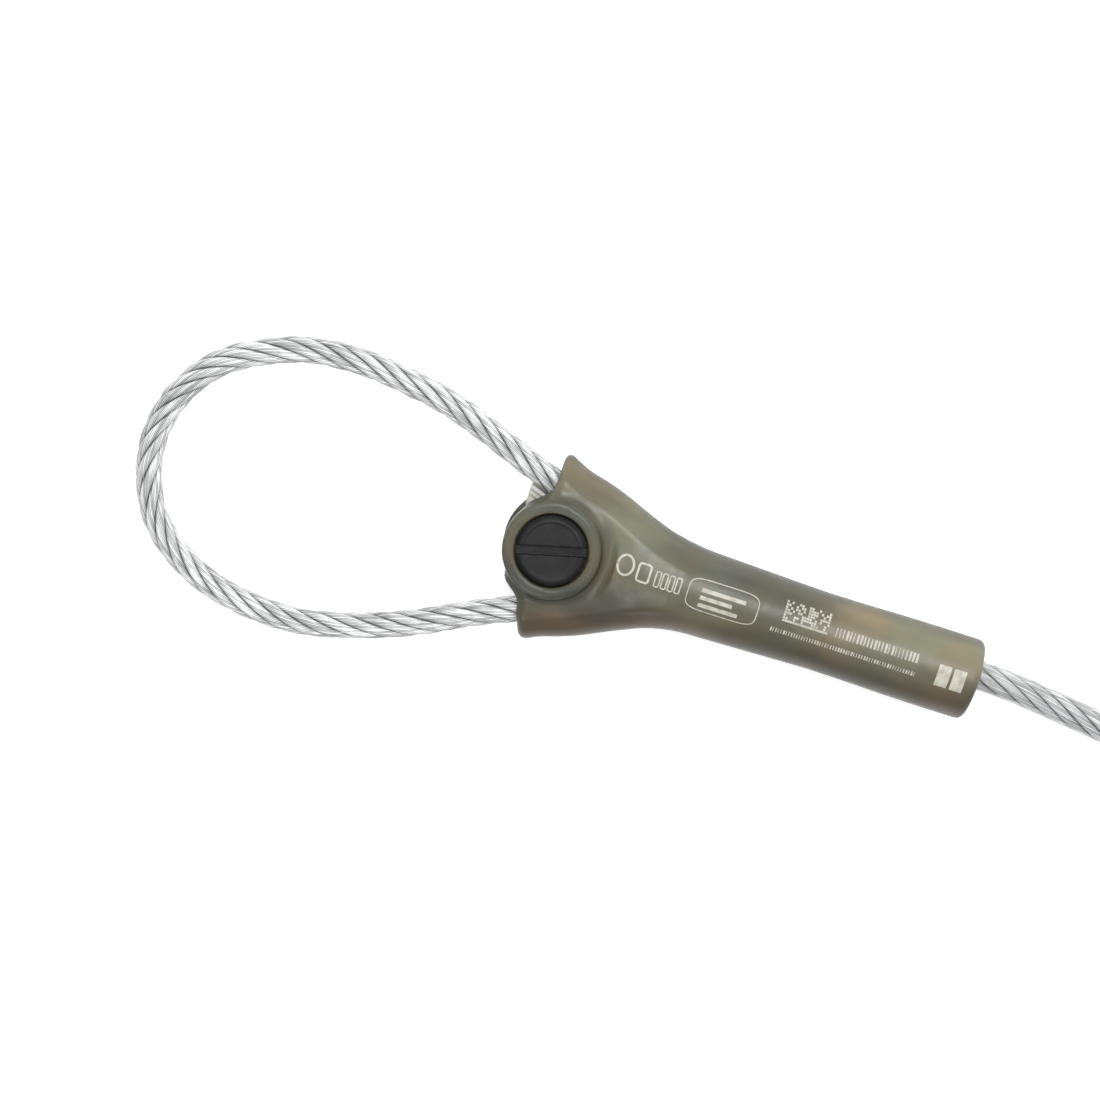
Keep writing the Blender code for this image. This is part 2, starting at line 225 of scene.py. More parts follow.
def ramp_node(tree, source, stops):
    ramp = tree.nodes.new("ShaderNodeValToRGB")
    elements = ramp.color_ramp.elements
    while len(elements) < len(stops):
        elements.new(0.5)
    for element, (place, color) in zip(elements, stops):
        element.position = place
        element.color = (*color, 1.0) if hasattr(color, "__len__") else (color, color, color, 1.0)
    tree.links.new(source, ramp.inputs["Fac"])
    return ramp.outputs["Color"]


def add_bump(tree, shader, source, distance, strength=1.0):
    bump = tree.nodes.new("ShaderNodeBump")
    bump.inputs["Distance"].default_value = distance
    bump.inputs["Strength"].default_value = strength
    tree.links.new(source, bump.inputs["Height"])
    tree.links.new(bump.outputs["Normal"], shader.inputs["Normal"])


def mix_color(tree, factor, first, second, blend="MIX"):
    mix = tree.nodes.new("ShaderNodeMix")
    mix.data_type = "RGBA"
    mix.blend_type = blend
    for socket, value in ((mix.inputs[0], factor), (mix.inputs[6], first), (mix.inputs[7], second)):
        if isinstance(value, bpy.types.NodeSocket):
            tree.links.new(value, socket)
        elif hasattr(value, "__len__"):
            socket.default_value = (*value, 1.0)
        else:
            socket.default_value = value
    return mix.outputs[2]


def coordinate_axis(tree, output, axis):
    """One number of a texture coordinate, such as the place or the facing along an axis."""
    place = tree.nodes.new("ShaderNodeTexCoord")
    parts = tree.nodes.new("ShaderNodeSeparateXYZ")
    tree.links.new(place.outputs[output], parts.inputs["Vector"])
    return parts.outputs[axis]


def map_range(tree, source, low, high):
    scaled = tree.nodes.new("ShaderNodeMapRange")
    scaled.inputs["From Min"].default_value = low
    scaled.inputs["From Max"].default_value = high
    tree.links.new(source, scaled.inputs["Value"])
    return scaled.outputs["Result"]


print("helpers: new_material, noise_node, ramp_node, add_bump, mix_color, coordinate_axis, map_range")

# %% [markdown]
# The rope is galvanised: each wire is drawn steel with a zinc skin, so it is a metal with a medium
# roughness and small differences of tone from wire to wire. The strands' mesh carries a number for
# each wire, and the finish reads it, so one wire keeps one tone along its whole length. A second number,
# wire_crest, is low between the wires, and the finish paints shade into those grooves from it.

# %% Galvanised wire
def galvanised_wire(name, brightness):
    material, tree, shader = new_material(name, Metallic=0.45, Roughness=0.45)
    wire = tree.nodes.new("ShaderNodeAttribute")
    wire.attribute_name = "wire_tone"
    tone = ramp_node(tree, wire.outputs["Fac"], [
        (place, tuple(brightness * part for part in color))
        for place, color in (
            (0.0, (0.30, 0.31, 0.31)), (0.5, (0.50, 0.51, 0.505)), (1.0, (0.70, 0.71, 0.705)),
        )
    ])
    # Painted shade: the colour is darkened in the grooves between wires, where wire_crest is low
    crest = tree.nodes.new("ShaderNodeAttribute")
    crest.attribute_name = "wire_crest"
    groove = ramp_node(tree, crest.outputs["Fac"], [(0.0, 0.06), (0.65, 1.0)])
    stain = noise_node(tree, 260, detail=3)
    stained = ramp_node(tree, stain.outputs["Fac"], [(0.32, 0.75), (0.55, 1.0)])
    groove_shaded_tone = mix_color(tree, 1.0, tone, groove, "MULTIPLY")
    tree.links.new(mix_color(tree, 1.0, groove_shaded_tone, stained, "MULTIPLY"), shader.inputs["Base Color"])
    grain = noise_node(tree, 1500, detail=2)
    rough = ramp_node(tree, grain.outputs["Fac"], [(0.3, 0.4), (0.7, 0.58)])
    tree.links.new(rough, shader.inputs["Roughness"])
    add_bump(tree, shader, grain.outputs["Fac"], 0.00002)
    return material


bare_wire = galvanised_wire("bare_wire", 1.08)
coated_wire = galvanised_wire("coated_wire", 1.55)
print("made", bare_wire.name, "and", coated_wire.name)

# %% [markdown]
# ## The strands
#
# Wire rope has six strands laid round a core, and each strand is a bundle of wires laid the other way,
# so that the wires run almost along the rope. A picture of wires in a bump texture looks flat at this
# distance, so the strands are real geometry: each is a tube whose section has twelve rounded bumps, one
# for each outer wire. The section turns as it goes along, and its points ride with the wires.

# %% Strand geometry
STRANDS = 6
WIRES = 15
POINTS_PER_WIRE = 4
CORE_SIDES = 8
CORE_TONE = 0.2
ROPE_LAY = 34 * MM         # length of one full turn of a strand, right-hand
WIRE_TURNS = -2.72         # turns of the wires in a strand for each turn of the strand
STATION = 0.8 * MM


def frames_along(line):
    """Tangents, and normals that turn as little as possible."""
    tangents = np.gradient(line, axis=0)
    tangents /= np.linalg.norm(tangents, axis=1)[:, None]
    normal = np.cross(tangents[0], (0, 0, 1))
    normals = []
    for tangent in tangents:
        normal = normal - normal.dot(tangent) * tangent
        normal /= np.linalg.norm(normal)
        normals.append(normal)
    normals = np.array(normals)
    return tangents, normals, np.cross(tangents, normals)


def tube_faces(stations, count, start):
    i, j = np.meshgrid(np.arange(stations - 1), np.arange(count), indexing="ij")
    k = (j + 1) % count
    quads = np.stack([i * count + j, i * count + k, (i + 1) * count + k, (i + 1) * count + j], axis=-1)
    faces = (quads.reshape(-1, 4) + start).tolist()
    first = [start + j for j in reversed(range(count))]
    last = [start + (stations - 1) * count + j for j in range(count)]
    return faces + [first, last]


def rope_mesh(name, line, radius, seed, finish):
    strand_radius = radius / 3
    pitch_radius = radius - strand_radius
    tangents, normals, binormals = frames_along(line)
    along = np.concatenate([[0], np.cumsum(np.linalg.norm(np.diff(line, axis=0), axis=1))])
    turn = 2 * math.pi / ROPE_LAY
    dice = np.random.default_rng(seed)
    points, faces, tones, groove_shade_masks = [], [], [], []
    per_strand = WIRES * POINTS_PER_WIRE
    ring = np.arange(per_strand) * 2 * math.pi / per_strand
    crest = np.abs(np.cos(ring * WIRES / 2)) ** 0.8
    bumps = strand_radius * (0.84 + 0.16 * crest)
    for strand in range(STRANDS):
        phase = strand * 2 * math.pi / STRANDS + turn * along
        outward = np.cos(phase)[:, None] * normals + np.sin(phase)[:, None] * binormals
        sideways = -np.sin(phase)[:, None] * normals + np.cos(phase)[:, None] * binormals
        direction = tangents + turn * pitch_radius * sideways
        direction /= np.linalg.norm(direction, axis=1)[:, None]
        second = np.cross(direction, outward)
        angle = ring[None, :] + (WIRE_TURNS * turn * along)[:, None]
        offset = (
            np.cos(angle)[..., None] * outward[:, None, :] + np.sin(angle)[..., None] * second[:, None, :]
        )
        center = line + pitch_radius * outward
        start = sum(len(p) for p in points)
        ring_points = center[:, None, :] + bumps[None, :, None] * offset
        points.append(ring_points.reshape(-1, 3))
        faces += tube_faces(len(line), per_strand, start)
        wire_of_point = ((np.arange(per_strand) + POINTS_PER_WIRE // 2) // POINTS_PER_WIRE) % WIRES
        tones.append(np.tile(dice.random(WIRES)[wire_of_point], len(line)))
        # wire_crest is 1 on a wire's crest and falls to 0 deep between wires; the finish paints groove
        # shade from it
        depth = np.linalg.norm(ring_points - line[:, None, :], axis=2) / radius
        groove_shade_masks.append((crest[None, :] * np.clip((depth - 0.66) / 0.24, 0, 1)).reshape(-1))
    core_ring = np.arange(CORE_SIDES) * 2 * math.pi / CORE_SIDES
    core = strand_radius * 1.02 * (
        np.cos(core_ring)[None, :, None] * normals[:, None, :]
        + np.sin(core_ring)[None, :, None] * binormals[:, None, :]
    )
    start = sum(len(p) for p in points)
    points.append((line[:, None, :] + core).reshape(-1, 3))
    faces += tube_faces(len(line), CORE_SIDES, start)
    tones.append(np.full(CORE_SIDES * len(line), CORE_TONE))
    groove_shade_masks.append(np.zeros(CORE_SIDES * len(line)))
    mesh = bpy.data.meshes.new(name)
    mesh.from_pydata(np.concatenate(points).tolist(), [], faces)
    for attribute, values in (("wire_tone", tones), ("wire_crest", groove_shade_masks)):
        layer = mesh.attributes.new(attribute, "FLOAT", "POINT")
        layer.data.foreach_set("value", np.concatenate(values).astype(np.float32))
    mesh.shade_smooth()
    mesh.materials.append(finish)
    return mesh


def show(name, data, body, node=None, place=Matrix()):
    piece = bpy.data.objects.new(name, data)
    piece.matrix_world = place
    bpy.context.scene.collection.objects.link(piece)
    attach(piece, body)
    if node:
        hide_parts(node)
    return piece


print(STRANDS, "strands of", WIRES, "wires round a core")

# %% [markdown]
# One eye is drawn and shown twice. The cable's strands are a little thinner than the bare rope, because
# their coating has to fit round them. Each piece says which body it rides on and which CAD node it
# stands in for.

# %% The eyes and the cable's strands
eye_mesh = rope_mesh("eye_strands", eye_line(STATION), ROPE_RADIUS, 3, bare_wire)
for letter, place in END_PLACES.items():
    show(f"eye_strands_{letter}", eye_mesh, "strop", f"eye_rope_{letter}", place)
INNER_ROPE_RADIUS = 2.72 * MM
cable_mesh = rope_mesh("cable_strands", cable_line(STATION), INNER_ROPE_RADIUS, 5, coated_wire)
cable_strands = show("cable_strands", cable_mesh, "strop")
print("eye strands:", len(eye_mesh.polygons), "faces")

# %% [markdown]
# Between the covers the rope wears a thin clear coating. It is one round tube, so a curve with a bevel
# gives it, and the curve is also the line that says how long the cable is. Its finish is clear plastic:
# full transmission, a low roughness, and a faint grey tint where the wall is seen edge-on.

# %% The clear coating
def clear_coating():
    material, tree, shader = new_material(
        "clear_coating", Roughness=0.08, IOR=1.4, Transmission_Weight=1.0
    )
    haze = noise_node(tree, 90, (1, 1, 1), detail=3)
    tint = ramp_node(tree, haze.outputs["Fac"], [(0.3, (0.96, 0.965, 0.97)), (0.7, (0.99, 0.99, 0.99))])
    tree.links.new(tint, shader.inputs["Base Color"])
    scuff = noise_node(tree, 900, detail=2)
    rough = ramp_node(tree, scuff.outputs["Fac"], [(0.35, 0.05), (0.75, 0.2)])
    tree.links.new(rough, shader.inputs["Roughness"])
    add_bump(tree, shader, haze.outputs["Fac"], 0.00005)
    return material


def tube_curve(name, line, radius):
    curve = bpy.data.curves.new(name, "CURVE")
    curve.dimensions = "3D"
    curve.bevel_depth = radius
    curve.bevel_resolution = 6
    curve.use_fill_caps = True
    spline = curve.splines.new("POLY")
    spline.points.add(len(line) - 1)
    for point, place in zip(spline.points, line):
        point.co = (*place, 1.0)
    spline.use_smooth = True
    return curve


coat_line = cable_line(2 * MM)
coat_curve = tube_curve("cable_coating", coat_line, CABLE_RADIUS)
coat_curve.materials.append(clear_coating())
coating = show("cable_coating", coat_curve, "strop", "coated_cable")
print("cable coating", round(length_of(coat_line), 4), "m long")

# %% [markdown]
# ## The moulded cover
#
# The cover is one skin with soft blends everywhere, which booleans can't give. So it is drawn as a
# distance field: a grid of numbers, each saying how far that place is from the surface, negative inside.
# Two shapes are joined by a smooth minimum, whose last number is the width of the blend between them.
# Cutting one shape out of another is the same sum with the signs turned. OpenVDB, which comes with
# Blender, then turns the zero level of the grid into a mesh. All of this part is in millimetres.

# %% Distance fields
CELL = 0.38
GRID_LOW = np.array([-12.0, -24.0, -0.9])
GRID_HIGH = np.array([95.0, 22.0, 19.6])
AXIS_MM = AXIS_HEIGHT / MM
COVER_END_MM = COVER_END_X / MM


def make_grid(low, high, cell):
    counts = np.ceil((high - low) / cell).astype(int)
    return np.meshgrid(*(low[k] + cell * np.arange(counts[k]) for k in range(3)), indexing="ij")


def join(first, second, width):
    share = np.clip(0.5 + 0.5 * (second - first) / width, 0, 1)
    return second + (first - second) * share - width * share * (1 - share)


def overlap(first, second, width):
    return -join(-first, -second, width)


def cut(first, second, width=0.4):
    return -join(-first, second, width)


def capsule(grid, start, end, radius):
    start, end = np.array(start), np.array(end)
    along = end - start
    offset = [grid[k] - start[k] for k in range(3)]
    share = np.clip(sum(offset[k] * along[k] for k in range(3)) / along.dot(along), 0, 1)
    return np.sqrt(sum((offset[k] - share * along[k]) ** 2 for k in range(3))) - radius


def upright_disc(grid, radius, half_height, edge):
    """Round disc on the pin's axis, with a rounded edge."""
    away = np.hypot(grid[0], grid[1]) - (radius - edge)
    level = np.abs(grid[2] - AXIS_MM) - (half_height - edge)
    outside = np.hypot(np.maximum(away, 0), np.maximum(level, 0))
    return outside + np.minimum(np.maximum(away, level), 0) - edge


print("cover grid:", [int(n) for n in np.ceil((GRID_HIGH - GRID_LOW) / CELL)], "cells")

# %% [markdown]
# Two straight lines are the axes of the leg sockets, one for each side of the eye. Everything that lies
# between them, such as the web and the slot for the spreader, is measured from those two lines.

# %% The leg sockets' axes
LEG_AXES = {1: ((24.0, 3.8), (-3.6, 13.5)), -1: ((24.0, -3.8), (-3.6, -15.8))}
LEG_BORE = 4.1
TAIL_SIZES = [
    (15.0, 7.6), (20.0, 8.7), (26.0, 9.2), (34.0, 9.2), (42.0, 8.95), (51.0, 8.65), (59.5, 8.42),
    (68.0, 8.52), (76.0, 8.7), (84.0, 8.78), (95.0, 8.74),
]


def leg_y(x, side):
    (x0, y0), (x1, y1) = LEG_AXES[side]
    return y0 + (x - x0) / (x1 - x0) * (y1 - y0)


def between_legs(x, y):
    """Distance past the nearer leg axis, negative between the two."""
    upper, lower = leg_y(x, 1), leg_y(x, -1)
    return np.abs(y - (upper + lower) / 2) - (upper - lower) / 2


def leg_radius(x):
    """Full at the mouth, with a slight waist behind it and a slight belly where the leg meets the web."""
    lip = 0.35 * np.exp(-(((x + 2.6) / 1.8) ** 2))
    waist = 0.25 * np.exp(-(((x - 3.0) / 2.6) ** 2))
    belly = 0.3 * np.exp(-(((x - 11.0) / 5.0) ** 2))
    return 6.3 + lip - waist + belly


def leg_rod(grid, side, left_x, right_x, radius):
    ends = [(x, leg_y(x, side), AXIS_MM) for x in (left_x, right_x)]
    return capsule(grid, *ends, radius)


print("gap between the leg axes at the pin:", round(leg_y(0, 1) - leg_y(0, -1), 1), "mm")

# %% [markdown]
# The outside is the tail, the two legs, the web between the legs and the two ears, joined one after
# another. The mouth is cut slantwise, with a bulge round each leg, and the back ear is a little larger
# than the front one.

# %% The outside of the skin
TAIL_START_X = 14.0
WEB_HALF_HEIGHTS = ((-4, 4.95), (8, 4.95), (15, 5.5), (24, 6.2))
MOUTH_X = -3.2
FRONT_EAR_RADIUS, BACK_EAR_RADIUS = 10.4, 10.8
EAR_LINE_RADII = (8.75, 9.45)
EAR_LINE_DEPTH = 0.32


def outer_skin(grid):
    x, y, z = grid
    tail = np.hypot(y, z - AXIS_MM) - np.interp(x, *zip(*TAIL_SIZES))
    tail = np.maximum(tail, TAIL_START_X - x)
    legs = join(*(leg_rod(grid, side, -12, 30, leg_radius(x)) for side in LEG_AXES), 2.0)
    body = join(tail, legs, 2.6)
    web_half = np.interp(x, *zip(*WEB_HALF_HEIGHTS))
    web = overlap(np.abs(z - AXIS_MM) - web_half, np.maximum(between_legs(x, y), x - 26), 1.0)
    body = join(body, web, 4.2)
    upper_bulge = 3.6 * np.exp(-(((y - 7.2) / 3.0) ** 2))
    lower_bulge = 5.0 * np.exp(-(((y + 8.6) / 2.9) ** 2))
    mouth = 0.35 * np.maximum(0, -15 - y) + MOUTH_X - x - upper_bulge - lower_bulge
    body = overlap(body, mouth, 2.6)
    ear_radius = np.where(z > AXIS_MM, FRONT_EAR_RADIUS, BACK_EAR_RADIUS)
    body = join(body, upright_disc(grid, ear_radius, AXIS_MM - 0.1, 1.1), 2.8)
    # Two fine lines follow the free edge of each ear
    for line_radius in EAR_LINE_RADII:
        line = np.hypot(np.hypot(x, y) - line_radius, np.abs(z - AXIS_MM) - AXIS_MM)
        body = cut(body, np.maximum(line - EAR_LINE_DEPTH, x - 1.0), 0.25)
    return overlap(body, x - COVER_END_MM, 1.3)


print("ears:", FRONT_EAR_RADIUS, "mm in front,", BACK_EAR_RADIUS, "mm behind")

# %% [markdown]
# The skin is hollow. A round chamber takes the ferrule, a narrow hole lets the cable out, two sockets
# take the eye's legs, and a slot takes the spreader. Each ear has a round seat for a pin head, with a
# smaller bore right through.

# %% The spaces inside, and the holes for the pin
CHAMBER_RADIUS = 6.9
EXIT_HOLE_RADIUS = 3.9
SPREADER_SLOT_HALF_HEIGHT = 4.2
SEAT_RADIUS, SEAT_FLOOR, PIN_BORE_RADIUS = 7.8, 2.7, 5.8


def rope_space(grid):
    x, y, z = grid
    chamber = np.hypot(y, z - AXIS_MM) - CHAMBER_RADIUS
    chamber = np.maximum(chamber, np.maximum(20 - x, x - (COVER_END_MM - 3)))
    exit_hole = np.hypot(y - 1.3, z - AXIS_MM + 0.3) - EXIT_HOLE_RADIUS
    exit_hole = np.maximum(exit_hole, COVER_END_MM - 4 - x)
    space = np.minimum(chamber, exit_hole)
    for side in LEG_AXES:
        space = join(space, leg_rod(grid, side, -20, 29, LEG_BORE), 0.5)
    level = np.abs(z - AXIS_MM) - SPREADER_SLOT_HALF_HEIGHT
    slot = np.maximum(level, np.maximum(between_legs(x, y), x - 13))
    return join(space, slot, 0.5)


def pin_space(grid):
    away = np.hypot(grid[0], grid[1])
    seat_floor = AXIS_MM - SEAT_FLOOR - np.abs(grid[2] - AXIS_MM)
    return np.minimum(np.maximum(away - SEAT_RADIUS, seat_floor), away - PIN_BORE_RADIUS)


print("pin seat:", 2 * SEAT_RADIUS, "mm across and", SEAT_FLOOR, "mm deep")

# %% [markdown]
# OpenVDB turns the grid into four-sided faces where the distance is zero. Outside the stored cells the
# field has one large number, its background, which only has to be positive.

# %% From a field to a mesh
BACKGROUND = 9.0
PIN_EDGE_ROUNDING = 1.1


def field_mesh(name, field, low=GRID_LOW, cell=CELL):
    volume = vdb.FloatGrid(BACKGROUND)
    volume.copyFromArray(field.astype(np.float32))
    points, quads = volume.convertToQuads(isovalue=0.0)
    mesh = bpy.data.meshes.new(name)
    mesh.from_pydata(((low + points * cell) * MM).tolist(), [], quads.tolist())
    bm = bmesh.new()
    bm.from_mesh(mesh)
    bmesh.ops.recalc_face_normals(bm, faces=bm.faces)
    bm.to_mesh(mesh)
    bm.free()
    mesh.shade_smooth()
    return mesh


def cover_mesh():
    grid = make_grid(GRID_LOW, GRID_HIGH, CELL)
    field = cut(outer_skin(grid), rope_space(grid), 0.5)
    return field_mesh("moulded_cover", cut(field, pin_space(grid), PIN_EDGE_ROUNDING))


print("edges of the pin's holes are rounded over", PIN_EDGE_ROUNDING, "mm")


# %% [markdown]
# The cover is smoky, flexible plastic. Some light goes through it, so what lies inside shows as paler and
# darker clouds. Large soft noise gives those clouds, and a fine bump gives the satin surface. Shade is
# painted into the colour round the pin, on the lower side and on the steep sides, and the thin lip of
# the pin's seat is left paler and warmer, a painted glow.

# %% Smoky plastic
def pin_distance(tree):
    """Distance from the pin's axis, 1 at 20 mm."""
    place = tree.nodes.new("ShaderNodeTexCoord")
    flat = tree.nodes.new("ShaderNodeVectorMath")
    flat.operation = "MULTIPLY"
    flat.inputs[1].default_value = (50, 50, 0)
    away = tree.nodes.new("ShaderNodeVectorMath")
    away.operation = "LENGTH"
    tree.links.new(place.outputs["Object"], flat.inputs[0])
    tree.links.new(flat.outputs["Vector"], away.inputs[0])
    return away.outputs["Value"]


def smoky_plastic():
    material, tree, shader = new_material(
        "smoky_plastic", IOR=1.4, Specular_IOR_Level=0.3, Transmission_Weight=0.2,
        Subsurface_Weight=0.25, Subsurface_Radius=(0.004, 0.0035, 0.0025), Subsurface_Scale=0.6,
    )
    clouds = noise_node(tree, 48, (0.55, 1.3, 1), detail=3)
    tint = ramp_node(tree, clouds.outputs["Fac"], [
        (0.3, (0.068, 0.070, 0.061)), (0.5, (0.126, 0.119, 0.092)), (0.7, (0.215, 0.19, 0.13)),
    ])
    hues = noise_node(tree, 75, (1, 1, 1), detail=2)
    patches = ramp_node(tree, hues.outputs["Fac"], [
        (0.35, (0.88, 0.99, 0.98)), (0.65, (1.0, 0.94, 0.85)),
    ])
    mottled = mix_color(tree, 1.0, tint, patches, "MULTIPLY")
    # Painted shade: the ear is darker than the rest round the pin, where its valley lies in shade; the
    # thin lip of the pin's seat is left paler and warmer, a painted glow of light through its thin edge
    away = pin_distance(tree)
    lip = ramp_node(tree, away, [
        (0.0, (1.0, 1.0, 1.0)), (0.395, (0.95, 0.88, 0.76)), (0.415, (0.80, 0.78, 0.74)),
        (0.435, (0.72, 0.74, 0.76)), (0.52, (0.68, 0.67, 0.66)), (0.60, (0.80, 0.79, 0.78)),
        (0.7, (1.0, 1.0, 1.0)),
    ])
    with_ear_shade_and_glow = mix_color(tree, 1.0, mottled, lip, "MULTIPLY")
    # Painted shade: past the ear, the lower side is darker and browner, and the upper edge a little
    # darker
    across = map_range(tree, coordinate_axis(tree, "Object", "Y"), -0.020, 0.020)
    depth = ramp_node(tree, across, [
        (0.1, (0.50, 0.42, 0.40)), (0.36, (0.64, 0.56, 0.54)), (0.52, (1.0, 0.98, 0.96)),
        (0.7, (1.0, 1.0, 1.0)), (0.92, (0.8, 0.8, 0.8)),
    ])
    lower_shade_past_ear = ramp_node(tree, away, [(0.55, 0.2), (0.7, 1.0)])
    lower = mix_color(tree, lower_shade_past_ear, (0.92, 0.9, 0.9), depth)
    shaded = mix_color(tree, 1.0, with_ear_shade_and_glow, lower, "MULTIPLY")
    # Painted shade: the steep sides are darker than the top, as if lit from above
    side = ramp_node(tree, coordinate_axis(tree, "Normal", "Z"), [
        (0.0, (0.42, 0.43, 0.44)), (0.24, (0.60, 0.60, 0.61)), (0.6, (1.0, 1.0, 1.0)),
    ])
    tree.links.new(mix_color(tree, 1.0, shaded, side, "MULTIPLY"), shader.inputs["Base Color"])
    grain = noise_node(tree, 900, detail=3)
    rough = ramp_node(tree, grain.outputs["Fac"], [(0.3, 0.3), (0.7, 0.42)])
    tree.links.new(rough, shader.inputs["Roughness"])
    add_bump(tree, shader, grain.outputs["Fac"], 0.00003, 0.5)
    return material


cover_finish = smoky_plastic()
print("made", cover_finish.name)

# %% [markdown]
# The grid of the cover has nearly two million numbers. Both ends share the one mesh that comes of it.

# %% Show the cover at both ends
skin_mesh = cover_mesh()
skin_mesh.materials.append(cover_finish)
for letter, place in END_PLACES.items():
    show(f"moulded_cover_{letter}", skin_mesh, "strop", f"sleeve_cover_{letter}", place)
print("cover:", len(skin_mesh.polygons), "faces")

# %% [markdown]
# ## The locking pin
#
# The pin's head is a shallow black disc with a coin slot. A fine raised rim runs round its flat face, and
# the shank below carries the two bayonet lugs. It is drawn as a field too, on a finer grid.

# %% The coin pin
PIN_LOW = np.array([-8.2, -8.2, 3.4])
PIN_HIGH = np.array([8.2, 8.2, 19.2])
PIN_CELL = 0.16
PIN_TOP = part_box("coin_pin_a")[1][2] / MM
HEAD_RADIUS = 7.5
HALF_HEAD_HEIGHT = 1.2
SHANK_RADIUS = 3.3
DISH_RADIUS, DISH_DEPTH = 5.95, 0.2
SLOT_ANGLE = math.radians(14.8)
SLOT_HALF_WIDTH, SLOT_DEPTH = 1.02, 1.3


def pin_mesh():
    grid = make_grid(PIN_LOW, PIN_HIGH, PIN_CELL)
    x, y, z = grid
    away = np.hypot(x, y)
    depth = PIN_TOP - z
    head = overlap(away - HEAD_RADIUS, np.abs(depth - HALF_HEAD_HEIGHT) - HALF_HEAD_HEIGHT, 0.5)
    chamfer = (away - 6.5 - depth * 1.2) / 1.56
    head = overlap(head, chamfer, 0.2)
    shank = np.maximum(away - SHANK_RADIUS, 4.0 - z)
    lugs = np.maximum(np.maximum(np.abs(x) - 4.5, np.abs(y) - 1.1), np.abs(z - 5.3) - 1.0)
    field = join(join(head, shank, 0.5), lugs, 0.3)
    dished = np.maximum(away - DISH_RADIUS, depth - DISH_DEPTH)
    field = cut(field, dished, 0.15)
    across = y * math.cos(SLOT_ANGLE) - x * math.sin(SLOT_ANGLE)
    slot = np.maximum(np.abs(across) - SLOT_HALF_WIDTH, depth - SLOT_DEPTH)
    field = cut(field, slot, 0.15)
    return field_mesh("coin_pin", np.maximum(field, -depth), PIN_LOW, PIN_CELL)


def black_nylon():
    material, tree, shader = new_material("black_nylon", Roughness=0.5, Specular_IOR_Level=0.14)
    cloud = noise_node(tree, 180, detail=4)
    tone = ramp_node(tree, cloud.outputs["Fac"], [
        (0.35, (0.007, 0.007, 0.008)), (0.7, (0.015, 0.015, 0.016)),
    ])
    tree.links.new(tone, shader.inputs["Base Color"])
    pits = noise_node(tree, 1100, detail=4, roughness=0.7)
    rough = ramp_node(tree, pits.outputs["Fac"], [(0.3, 0.38), (0.7, 0.6)])
    tree.links.new(rough, shader.inputs["Roughness"])
    add_bump(tree, shader, pits.outputs["Fac"], 0.00012, 0.8)
    return material


black = black_nylon()
pin_data = pin_mesh()
pin_data.materials.append(black)
for letter, place in END_PLACES.items():
    show(f"slotted_pin_{letter}", pin_data, f"pin_{letter}", f"coin_pin_{letter}", place)
    bpy.data.objects[f"pin_socket_{letter}"].material_slots[0].material = black
print("pin:", len(pin_data.polygons), "faces")

# %% [markdown]
# ## The spreader
#
# A pale nylon wedge fills the crotch of the eye. The rope lies in a groove down each side, and fine ribs
# run along its edges. From above only its tongue shows, between the ears and the upper leg.

# %% The spreader
SPREADER_LOW = np.array([-10.5, -14.0, 4.8])
SPREADER_HIGH = np.array([12.6, 13.6, 13.8])
SPREADER_CELL = 0.2
SPREADER_ARC_RADIUS = 9.7
SPREADER_TIP_X, SPREADER_RIGHT_X = -8.2, 11.5
SPREADER_HALF_HEIGHT = 3.85
LEG_CLEARANCE = 3.5
ROPE_GROOVE_RADIUS = 4.25


def spreader_mesh():
    grid = make_grid(SPREADER_LOW, SPREADER_HIGH, SPREADER_CELL)
    x, y, z = grid
    level = np.abs(z - AXIS_MM)
    away = np.hypot(x, y)
    inside_arc = np.minimum(away - SPREADER_ARC_RADIUS, np.maximum(SPREADER_TIP_X - x, 6.9 - y))
    edge = between_legs(x, y) + LEG_CLEARANCE
    wedge = np.maximum(edge, np.maximum(x - SPREADER_RIGHT_X, inside_arc))
    field = overlap(wedge, level - SPREADER_HALF_HEIGHT, 0.5)
    for side in LEG_AXES:
        field = cut(field, leg_rod(grid, side, -20, 30, ROPE_GROOVE_RADIUS), 0.3)
    for furrow in (4.7, 5.8):
        groove = np.abs(between_legs(x, y) + furrow) - 0.2
        field = cut(field, np.maximum(groove, 3.35 - level), 0.1)
    for rib in (1.5, 2.9):
        field = cut(field, np.maximum(np.abs(level - rib) - 0.22, -0.75 - edge), 0.1)
    return field_mesh("ribbed_spreader", cut(field, away - 5.85, 0.3), SPREADER_LOW, SPREADER_CELL)


def pale_nylon():
    material, tree, shader = new_material("pale_nylon", Roughness=0.5, Subsurface_Weight=0.15)
    cloud = noise_node(tree, 120, detail=3)
    tone = ramp_node(tree, cloud.outputs["Fac"], [(0.3, (0.24, 0.235, 0.21)), (0.7, (0.36, 0.35, 0.32))])
    tree.links.new(tone, shader.inputs["Base Color"])
    grain = noise_node(tree, 1200, detail=3)
    rough = ramp_node(tree, grain.outputs["Fac"], [(0.3, 0.4), (0.7, 0.6)])
    tree.links.new(rough, shader.inputs["Roughness"])
    add_bump(tree, shader, grain.outputs["Fac"], 0.00004)
    return material


spreader_data = spreader_mesh()
spreader_data.materials.append(pale_nylon())
for letter, place in END_PLACES.items():
    show(
        f"ribbed_spreader_{letter}", spreader_data, "strop", f"spreader_{letter}", place
    )
print("spreader:", len(spreader_data.polygons), "faces")

# %% [markdown]
# ## The ferrule and the rope's cut end
#
# Both are inside the cover and hidden by it, but they are finished all the same. The ferrule keeps its
# CAD shape and gets drawn aluminium, with scratches along it. The cut end is a short stretch of rope.

